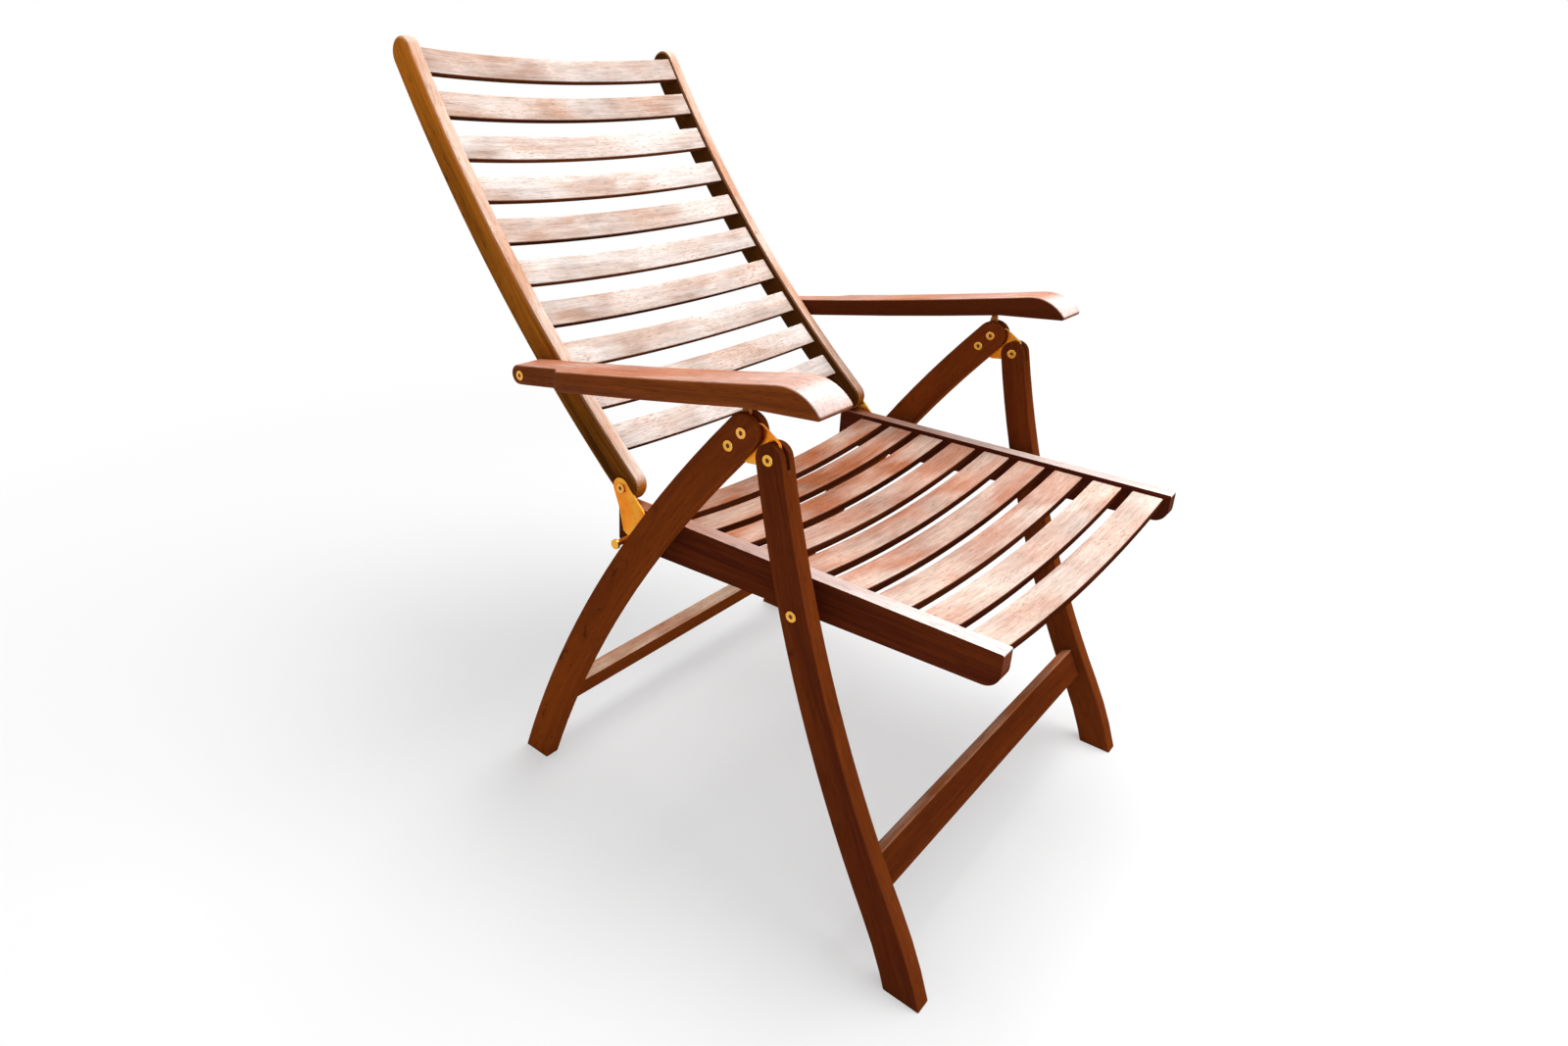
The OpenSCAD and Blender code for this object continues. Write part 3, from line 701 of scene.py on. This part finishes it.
class GARDENCHAIR_OT_front_legs(bpy.types.Operator):
    """Front legs and their stretcher"""

    bl_idname = "garden_chair.front_legs"
    bl_label = "Front legs"

    def execute(self, context):
        wood = context.scene.garden_chair_wood
        finish = oiled_hardwood("oiled_front_legs", wood, "leg", figuring=0.35)
        legs = Ageing(wood.leg_fade, tones=(0.6, 0.7), level=0.3, inner=0.5, outer=(0.8, 0.8))
        wooden(FRONT_LEGS, finish, wood.frame_edge, legs)
        # Its top face is faded further: a painted light under the seat's shadow
        stretcher = Ageing(wood.front_stretcher_fade, tones=(0.2, 0.3), level=0.6, span=0.2)
        wooden(FRONT_STRETCHER, finish, wood.frame_edge, stretcher, True)
        return {"FINISHED"}


class GARDENCHAIR_OT_back_legs(bpy.types.Operator):
    """Back legs and their stretcher"""

    bl_idname = "garden_chair.back_legs"
    bl_label = "Back legs"

    def execute(self, context):
        wood = context.scene.garden_chair_wood
        finish = oiled_hardwood("oiled_back_legs", wood, "leg", figuring=0.35)
        legs = Ageing(wood.leg_fade, tones=(0.9, 1), level=0.3, inner=0.5, outer=(-0.2, 0.75))
        wooden(BACK_LEGS, finish, wood.frame_edge, legs)
        # Its faces are faded further: a painted light under the seat's shadow
        stretcher = Ageing(wood.back_stretcher_fade, tones=(0.9, 1), level=0.3, span=0.3)
        wooden(BACK_STRETCHER, finish, wood.frame_edge, stretcher, True)
        return {"FINISHED"}


class GARDENCHAIR_OT_rails_and_stiles(bpy.types.Operator):
    """Side rails of the seat and the bowed stiles of the back"""

    bl_idname = "garden_chair.rails_and_stiles"
    bl_label = "Rails and stiles"

    def execute(self, context):
        wood = context.scene.garden_chair_wood
        finish = oiled_hardwood("oiled_rails", wood, "leg", figuring=0.45)
        rails = Ageing(
            wood.frame_fade, tones=(0.2, 0.3), backrest_shade=0.6, bare_and_highlight=1.1, inner=0.9, outer=(0.8, 0.65)
        )
        wooden(SEAT_RAILS, finish, wood.frame_edge, rails)
        finish = oiled_hardwood("oiled_stiles", wood, "stile")
        stiles = Ageing(wood.frame_fade, tones=(0.9, 1), inner=1.8, outer=(1.2, -0.8))
        wooden(STILES, finish, wood.stile_edge, stiles)
        return {"FINISHED"}


class GARDENCHAIR_OT_slats(bpy.types.Operator):
    """Dished slats of the seat and the back"""

    bl_idname = "garden_chair.slats"
    bl_label = "Slats"

    def execute(self, context):
        wood = context.scene.garden_chair_wood
        finish = oiled_hardwood("faded_seat_slats", wood, "seat", dryness=0.11)
        # polished keeps the seat slats' middle darker than their ends, which carry a painted reflection
        seat = Ageing(
            wood.slat_fade, level=0.35, span=0.4, backrest_shade=0.36, bare_and_highlight=0.18, polished=0.16
        )
        wooden(SEAT_SLATS, finish, wood.slat_edge, seat, True)
        finish = oiled_hardwood("faded_back_slats", wood, "back", dryness=0.12)
        wooden(BACK_SLATS, finish, wood.slat_edge, Ageing(wood.slat_fade), True)
        return {"FINISHED"}


class GARDENCHAIR_OT_armrests(bpy.types.Operator):
    """Armrests with their rounded noses"""

    bl_idname = "garden_chair.armrests"
    bl_label = "Armrests"

    def execute(self, context):
        wood = context.scene.garden_chair_wood
        finish = oiled_hardwood(
            "oiled_armrests", wood, "arm", dryness=0.22, gloss=0.02, figuring=0.5
        )
        arms = Ageing(
            wood.arm_fade, tones=(0.4, 0.5), backrest_shade=0.25, bare_and_highlight=0.15, nose_highlight=0.85, inner=1.6
        )
        wooden(ARMRESTS, finish, wood.arm_edge, arms)
        return {"FINISHED"}


class GARDENCHAIR_OT_plates(bpy.types.Operator):
    """Brass plates of the legs and hinges, and the notched racks"""

    bl_idname = "garden_chair.plates"
    bl_label = "Brass plates"

    def execute(self, context):
        settings = context.scene.garden_chair_brass
        finish = brass("plated_sheet", settings.plated, settings, film=0.28)
        metal(LEG_PLATES, finish, settings.edge, tab_height=TAB_HEIGHT)
        metal(HINGE_PLATES_AND_RACKS, finish, settings.edge)
        return {"FINISHED"}


class GARDENCHAIR_OT_fasteners(bpy.types.Operator):
    """Bolts, bushes, spacers, screws and stop pins"""

    bl_idname = "garden_chair.fasteners"
    bl_label = "Fasteners"

    def execute(self, context):
        settings = context.scene.garden_chair_brass
        finish = brass("polished_brass", settings.polished, settings, film=0.20)
        metal(FASTENERS, finish, settings.edge, socket_radius=SOCKET_RADIUS)
        return {"FINISHED"}


class GARDENCHAIR_OT_studio(bpy.types.Operator):
    """Pale floor, soft lights and the camera of the photograph"""

    bl_idname = "garden_chair.studio"
    bl_label = "Studio"

    def execute(self, context):
        studio = context.scene.garden_chair_studio
        self.make_floor(context, studio)
        self.make_world(context, studio)
        self.make_light(context, "main_light", *MAIN_LIGHT, studio.key)
        self.make_light(context, "front_light", *FRONT_LIGHT, studio.fill)
        self.make_camera(context)
        return {"FINISHED"}

    def make_floor(self, context, studio):
        """A floor that takes the shadow near the chair and turns to plain white further out."""
        work = bmesh.new()
        bmesh.ops.create_grid(
            work, x_segments=FLOOR_SQUARES, y_segments=FLOOR_SQUARES, size=FLOOR_REACH
        )
        mesh = bpy.data.meshes.new("studio_floor")
        work.to_mesh(mesh)
        work.free()
        floor = bpy.data.objects.new("studio_floor", mesh)
        context.scene.collection.objects.link(floor)
        recipe = Recipe(bpy.data.materials.new("pale_floor"))
        place = recipe.node("ShaderNodeTexCoord", None, None, "Object")
        away = recipe.node(
            "ShaderNodeVectorMath", {"operation": "LENGTH"}, {0: place}, "Value"
        )
        far = recipe.node(
            "ShaderNodeMapRange", {"interpolation_type": "SMOOTHSTEP"},
            {"Value": away, "From Min": FADE_START, "From Max": FADE_END,
             "To Min": MIDDLE_WHITE, "To Max": 1.0},
        )
        near = recipe.node(
            "ShaderNodeBsdfDiffuse", None, {"Color": studio.floor, "Roughness": 0.5}
        )
        white = recipe.node("ShaderNodeEmission", None, {"Color": WHITE, "Strength": 1.0})
        mixed = recipe.node("ShaderNodeMixShader", None, {0: recipe.in_view() * far, 1: near, 2: white})
        recipe.node("ShaderNodeOutputMaterial", None, {"Surface": mixed})
        mesh.materials.append(recipe.owner)

    def make_world(self, context, studio):
        """Even light from all round, seen as plain white."""
        sky = Recipe(bpy.data.worlds.new("studio_sky"))
        plain = sky.node("ShaderNodeBackground", None, {"Color": WHITE, "Strength": studio.sky})
        white = sky.node("ShaderNodeBackground", None, {"Color": WHITE, "Strength": 1.0})
        mixed = sky.node("ShaderNodeMixShader", None, {0: sky.in_view(), 1: plain, 2: white})
        sky.node("ShaderNodeOutputWorld", None, {"Surface": mixed})
        context.scene.world = sky.owner

    def make_light(self, context, name, place, width, watts):
        """A round soft lamp that shines at the chair."""
        lamp = bpy.data.lights.new(name, "AREA")
        lamp.shape = "DISK"
        lamp.size = width
        lamp.energy = watts
        light = bpy.data.objects.new(name, lamp)
        light.location = place
        towards = LIGHT_TARGET - Vector(place)
        light.rotation_euler = towards.to_track_quat("-Z", "Y").to_euler()
        context.scene.collection.objects.link(light)

    def make_camera(self, context):
        """The camera that the photograph was taken with, solved from its bolts, feet and rails."""
        turn, rise, roll = (math.radians(angle) for angle in CAMERA_ANGLES)
        back = Vector((
            math.sin(turn) * math.cos(rise), -math.cos(turn) * math.cos(rise), math.sin(rise)
        ))
        right = (-back).cross(Vector((0, 0, 1))).normalized()
        up = right.cross(-back)
        across = right * math.cos(roll) + up * math.sin(roll)
        upright = up * math.cos(roll) - right * math.sin(roll)
        lens = bpy.data.cameras.new("photo_camera")
        lens.sensor_fit = "HORIZONTAL"
        lens.sensor_width = SENSOR
        lens.lens = FOCAL * SENSOR / PHOTO_WIDTH
        lens.shift_x = (PHOTO_WIDTH / 2 - LENS_X) / PHOTO_WIDTH
        lens.shift_y = (LENS_Y - PHOTO_HEIGHT / 2) / PHOTO_WIDTH
        camera = bpy.data.objects.new("photo_camera", lens)
        context.scene.collection.objects.link(camera)
        place = (CAMERA_X, CAD_BOX[0][1] - CAMERA_BEFORE_CHAIR, CAMERA_Z)
        turned = Matrix((across, upright, back)).transposed().to_4x4()
        camera.matrix_world = Matrix.Translation(place) @ turned
        context.scene.camera = camera
        context.scene.view_settings.view_transform = "Standard"


OPERATORS = (
    GARDENCHAIR_OT_front_legs,
    GARDENCHAIR_OT_back_legs,
    GARDENCHAIR_OT_rails_and_stiles,
    GARDENCHAIR_OT_slats,
    GARDENCHAIR_OT_armrests,
    GARDENCHAIR_OT_plates,
    GARDENCHAIR_OT_fasteners,
    GARDENCHAIR_OT_studio,
)


class GARDENCHAIR_PT_panel(bpy.types.Panel):
    """Sizes, colours and the steps that make the chair's pieces"""

    bl_label = "Garden chair"
    bl_idname = "GARDENCHAIR_PT_panel"
    bl_space_type = "VIEW_3D"
    bl_region_type = "UI"
    bl_category = "Garden chair"

    def draw(self, context):
        for group in (
            context.scene.garden_chair_wood,
            context.scene.garden_chair_brass,
            context.scene.garden_chair_studio,
        ):
            box = self.layout.box()
            for name in group.__annotations__:
                box.prop(group, name)
        for operator in OPERATORS:
            self.layout.operator(operator.bl_idname)


CLASSES = (
    GardenChairWood, GardenChairBrass, GardenChairStudio, *OPERATORS, GARDENCHAIR_PT_panel
)


def register():
    for made in CLASSES:
        bpy.utils.register_class(made)
    bpy.types.Scene.garden_chair_wood = PointerProperty(type=GardenChairWood)
    bpy.types.Scene.garden_chair_brass = PointerProperty(type=GardenChairBrass)
    bpy.types.Scene.garden_chair_studio = PointerProperty(type=GardenChairStudio)


def unregister():
    del bpy.types.Scene.garden_chair_wood
    del bpy.types.Scene.garden_chair_brass
    del bpy.types.Scene.garden_chair_studio
    for made in reversed(CLASSES):
        bpy.utils.unregister_class(made)


def main():
    register()
    bpy.ops.garden_chair.front_legs()
    bpy.ops.garden_chair.back_legs()
    bpy.ops.garden_chair.rails_and_stiles()
    bpy.ops.garden_chair.slats()
    bpy.ops.garden_chair.armrests()
    bpy.ops.garden_chair.plates()
    bpy.ops.garden_chair.fasteners()
    bpy.ops.garden_chair.studio()


if __name__ == "__main__":
    main()
